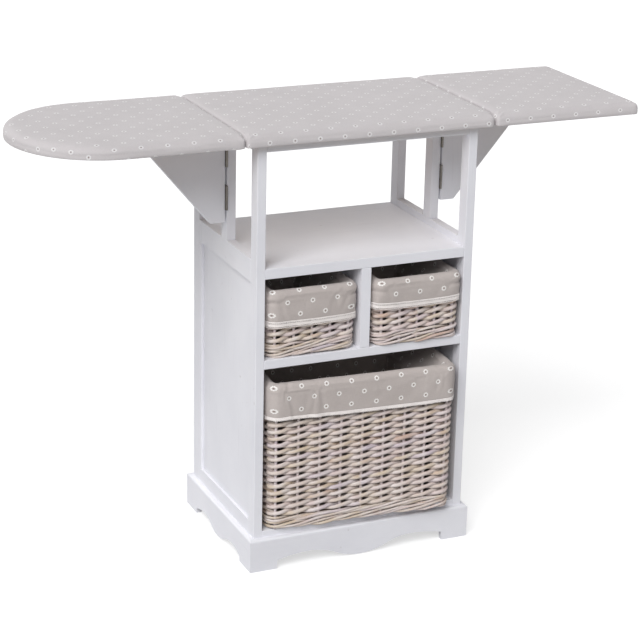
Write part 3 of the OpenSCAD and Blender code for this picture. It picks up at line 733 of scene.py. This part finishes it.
def liner_line(b, big):
    """The profile from the hem over the rim and down to the base, and how many points of it can move."""
    H, flap = b["h"], b["flap"]
    steps = round((flap - ARCH) / 4) + 1
    line = [(FLAP_IN + 1.0, H - flap + t * (flap - ARCH)) for t in np.linspace(0, 1, steps)[:-1]]
    line += arch(H, 13)
    line += [(-WALL_IN - 1.0 - (HANG_IN - 1) * (3 * t**2 - 2 * t**3), H - ARCH - 44 * t)
             for t in np.arange(1, 12) / 11]
    hung = len(line) - 5
    line += [(-WALL_IN - HANG_IN, z) for z in np.linspace(H - 66, 14, round((H - 80) / 12) + 2)]
    line += [(-WALL_IN - HANG_IN - n, z) for n, z in ((1, 9.0), (4, 7.0), (9, 6.4), (17, 6.4))]
    line = np.array(line)
    if not big:
        z = H - line[:, 1]
        rolled = np.exp(-(((z - 12) / 6) ** 2)) - 2.4 * np.exp(-(((z - 21) / 3.2) ** 2))
        line[:, 0] += (line[:, 0] > 0) * rolled
    return line, hung


def tube_faces(rows, columns, closed=False):
    """Faces of a net of rows that run round; closed also joins the last row to the first."""
    return [((r % rows) * columns + c, (r % rows) * columns + (c + 1) % columns,
             ((r + 1) % rows) * columns + (c + 1) % columns, ((r + 1) % rows) * columns + c)
            for r in range(rows if closed else rows - 1) for c in range(columns)]


def hung_cloth(b, line, hung, share, hang, out):
    """Hangs the fold over a form of the basket's rim: how far each point goes out, and its other way."""
    columns = len(share)
    H = b["h"]
    profile = [(line[k, 0] - 2.2, line[k, 1]) for k in range(0, hung - 19)]
    profile += arch(H, 9, 1.8, 1.0) + [(-WALL_IN + 0.8, H - 60)]
    form = np.concatenate([around(b, share, n, z) for n, z in profile])
    body = build("form", form * MM, tube_faces(len(profile), columns, True), LINEN)
    body.modifiers.new("hit", "COLLISION")
    body.collision.thickness_outer = 0.0005
    body.collision.cloth_friction = 8
    sheet = build("hanging", hang.reshape(-1, 3) * MM, tube_faces(hung, columns), LINEN)
    pin_group(sheet, range((hung - 2) * columns, hung * columns))
    simulate(sheet, 14, gravity=1.0, expand=0.02, bending=0.1, stiffness=10, gap=0.0006)
    gone = (coordinates(sheet) / MM - hang.reshape(-1, 3)).reshape(hang.shape)
    bpy.data.objects.remove(sheet)
    bpy.data.objects.remove(body)
    away = (gone * out[:hung]).sum(2)
    side = gone - away[:, :, None] * out[:hung]
    far = np.linalg.norm(side, axis=2)
    return away, side * np.minimum(1, 5.0 / np.maximum(far, 1e-9))[:, :, None]


def dress(b, big, line, hung, hang, out, away, side):
    """The hung part with its wrinkles, kept between the wicker and the bay, and the big one's pleat."""
    H, flap = b["h"], b["flap"]
    z, outside = line[:hung, 1][:, None], (line[:hung, 0] > 0)[:, None]
    q = hang.reshape(-1, 3) * MM
    ridge = 0.4 - np.sqrt(noise3(q, (6, 6, 34), 4.37 + flap / 7) ** 2 + 0.006)
    fold = (FOLD_RISE * ridge + FOLD_FINE * noise3(q, (18, 18, 60), 9.41)).reshape(away.shape)
    fold *= np.clip((z - (H - flap)) / 12, 0, 1) * outside * (1.0 if big else SMALL_FOLD)
    front = out[:hung, :, 1] < -0.7
    least = np.where(outside, IN_HEM - IN_MORE * np.clip((z - (H - flap)) / 10, 0, 1), IN_HEM)
    most = np.where(front & outside, OUT_FRONT, np.where(z > H - flap + 8, OUT_HIGH, OUT_HEM))
    away = np.clip(away + fold, least, most)
    if big:
        x0 = PLEAT_FROM - b["w"] / 2
        pleat = np.exp(-(((hang[:, :, 0] - x0) / PLEAT_WIDE) ** 2)) * (hang[:, :, 1] < 0)
        pleat *= np.clip((z - (H - 24)) / 20, 0, 1)
        away -= PLEAT_IN * pleat
        hang[:, :, 2] -= PLEAT_DOWN * pleat
    top = np.clip((z - (H - 22)) / 12, 0, 1)
    hang[:, :, 2] += top * (1.1 * noise3(q, (16, 16, 0), 2.0).reshape(away.shape) - 0.3)
    return hang + side + away[:, :, None] * out[:hung]


def liner(name, b):
    """One liner with its lace. Its map starts in the middle of the front, and its seam lies at the rear."""
    H = b["h"]
    big = name == "big"
    round_about = whole_way(b, H)
    columns = 4 * round(round_about / FOUR_COLUMNS)
    line, hung = liner_line(b, big)
    share = np.arange(columns) / columns
    rows = len(line)
    local = around(b, share[None, :], line[:, 0][:, None], line[:, 1][:, None])
    run = np.concatenate([[0], np.cumsum(np.linalg.norm(np.diff(line, axis=0), axis=1))])
    out = around(b, share[None, :], line[:, 0][:, None] + 1, line[:, 1][:, None]) - local
    out /= np.maximum(np.linalg.norm(out, axis=2), 1e-9)[:, :, None]
    hang = local[:hung].copy()
    away, side = np.zeros(hang.shape[:2]), np.zeros(hang.shape)
    away, side = hung_cloth(b, line, hung, share, hang, out)
    local[:hung] = dress(b, big, line, hung, hang, out, away, side)
    across = ((share + 0.5) % 1 - 0.5) * round_about
    u, v = np.broadcast_arrays(across[None, :] + b["phase"][0], run[:, None] + b["phase"][1])
    uv = np.stack([u, v], -1) * MM
    bottom = tuple((rows - 1) * columns + c for c in range(columns))
    faces = tube_faces(rows, columns) + [bottom]
    o = build("liner_cloth_" + name, place(b, local.reshape(-1, 3)), faces, LINEN, uv=uv.reshape(-1, 2))
    seam = o.data.uv_layers["UVMap"].data
    whole = round_about * MM
    for poly in o.data.polygons:
        us = [seam[i].uv[0] for i in poly.loop_indices]
        if max(us) - min(us) > whole / 2 and len(us) == 4:
            for i in poly.loop_indices:
                if seam[i].uv[0] < 0:
                    seam[i].uv[0] += whole
    sub = o.modifiers.new("fine", "SUBSURF")
    sub.levels = sub.render_levels = 1
    sub.use_limit_surface = False
    thick = o.modifiers.new("thick", "SOLIDIFY")
    thick.thickness, thick.offset = LINER_THICK, 0.0
    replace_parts(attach(o, "basket_" + name), "liner_" + name)
    trim = lace(name, b, local[0], out[0])
    return o


THREAD, CROSS_THREAD, LOOP_THREAD = 0.62, 0.62, 0.6
CROSS_PITCH, LOOP_PITCH = 3.7, 3.8


def lace(name, b, hem, out):
    """Crochet lace sewn under the hem: bands, crossing threads and scallops."""
    ring = np.concatenate([hem, hem[:1]])
    step = np.linalg.norm(np.diff(ring, axis=0), axis=1)
    run = np.concatenate([[0], np.cumsum(step)])
    whole = run[-1]
    outs = np.concatenate([out, out[:1]])

    def at(s, d, lift=0.0):
        s = np.asarray(s, float) % whole
        base = np.stack([np.interp(s, run, ring[:, i]) for i in range(3)], -1)
        way = np.stack([np.interp(s, run, outs[:, i]) for i in range(3)], -1)
        wave = 0.5 * np.sin(s / whole * 2 * math.pi * 23) * np.asarray(d) / b["lace"]
        p = base + way * (wave + 0.4 + np.asarray(lift))[..., None]
        p[..., 2] -= d
        return p

    heap = Heap()
    fine = np.linspace(0, whole, int(whole / 3), endpoint=False)
    tall = b["lace"] > 10
    bands = [(d, THREAD) for d in (np.arange(4.9, 10.6, 0.95) if tall else np.arange(0.2, 5.6, 0.95))]
    if tall:
        bands = [(0.3, 0.7), (1.2, 0.6)] + bands
    for d, r in bands:
        wob = 0.12 * np.sin(fine * 2.1 + d)
        heap.tube(place(b, at(fine, d + wob)), r * MM, 5, True)
    if tall:
        cells = round(whole / CROSS_PITCH)
        for i in range(cells):
            s = np.array((i, i + 1.0)) * whole / cells
            for a, c in ((0, 1), (1, 0)):
                path = at(np.linspace(s[a], s[c], 3), np.linspace(1.3, 4.9, 3), 0.3)
                heap.tube(place(b, path), CROSS_THREAD * MM, 4)
    low = b["lace"] - 2.2
    cells = round(whole / LOOP_PITCH)
    for i in range(cells):
        s0, w = i * whole / cells, whole / cells
        t = np.linspace(0, math.pi, 5)
        path = at(s0 + w * (0.5 - 0.4 * np.cos(t)), low + 2.0 * np.sin(t) ** 0.7)
        heap.tube(place(b, path), LOOP_THREAD * MM, 4)
    o = heap.object("trim_" + name, LACE)
    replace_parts(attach(o, "basket_" + name), "lace_" + name)
    return o


for name, b in BASKETS.items():
    weave(name, b)
    liner(name, b)


# Stage: a pale floor that looks white to the camera and keeps the shadow, even lamps

FLOOR_HALF, FLOOR_GREY, FLOOR_GLOW = 30, 0.6, 0.59
AIR = 0.22


def seen(tree):
    """1 for what the camera, a mirror or a glass sees."""
    path = tree.nodes.new("ShaderNodeLightPath").outputs
    last = path["Is Camera Ray"]
    for key in ("Is Glossy Ray", "Is Transmission Ray"):
        n = tree.nodes.new("ShaderNodeMath")
        n.use_clamp = True
        tree.links.new(last, n.inputs[0])
        tree.links.new(path[key], n.inputs[1])
        last = n.outputs[0]
    return last


ground = Mat("floor", Roughness=1.0, Specular_IOR_Level=0.0)
ground.base((FLOOR_GREY, FLOOR_GREY, FLOOR_GREY, 1))
glow = ground.node("Emission", Strength=FLOOR_GLOW)
both = ground.node("AddShader", _0=ground.bsdf.outputs[0], _1=glow.outputs[0])
pick = ground.node("MixShader", _0=seen(ground.t), _1=ground.bsdf.outputs[0], _2=both.outputs[0])
ground.put(ground.t.nodes["Material Output"].inputs["Surface"], pick.outputs[0])
corners = [(x * FLOOR_HALF, y * FLOOR_HALF, 0) for x, y in ((-1, -1), (1, -1), (1, 1), (-1, 1))]
build("floor", corners, [(0, 1, 2, 3)], ground.m, smooth=False)

world = bpy.data.worlds.new("world")
scene.world = world
world.use_nodes = True
world_tree = world.node_tree
air = world_tree.nodes["Background"]
air.inputs["Color"].default_value = (0.97, 0.98, 1.0, 1)
air.inputs["Strength"].default_value = AIR
white = world_tree.nodes.new("ShaderNodeBackground")
white.inputs["Color"].default_value = (1, 1, 1, 1)
pick = world_tree.nodes.new("ShaderNodeMixShader")
world_tree.links.new(seen(world_tree), pick.inputs[0])
world_tree.links.new(air.outputs[0], pick.inputs[1])
world_tree.links.new(white.outputs[0], pick.inputs[2])
world_tree.links.new(pick.outputs[0], world_tree.nodes["World Output"].inputs["Surface"])


def sun(name, way, strength, angle):
    d = bpy.data.lights.new(name, "SUN")
    d.energy, d.angle = strength, math.radians(angle)
    o = bpy.data.objects.new(name, d)
    o.rotation_mode = "QUATERNION"
    o.rotation_quaternion = Vector(way).to_track_quat("-Z", "Y")
    scene.collection.objects.link(o)


sun("key", (0.52, 0.52, -0.68), 2.5, 40)
sun("back", (0.1, -0.86, -0.5), 0.9, 40)

scene.view_settings.view_transform = "Standard"
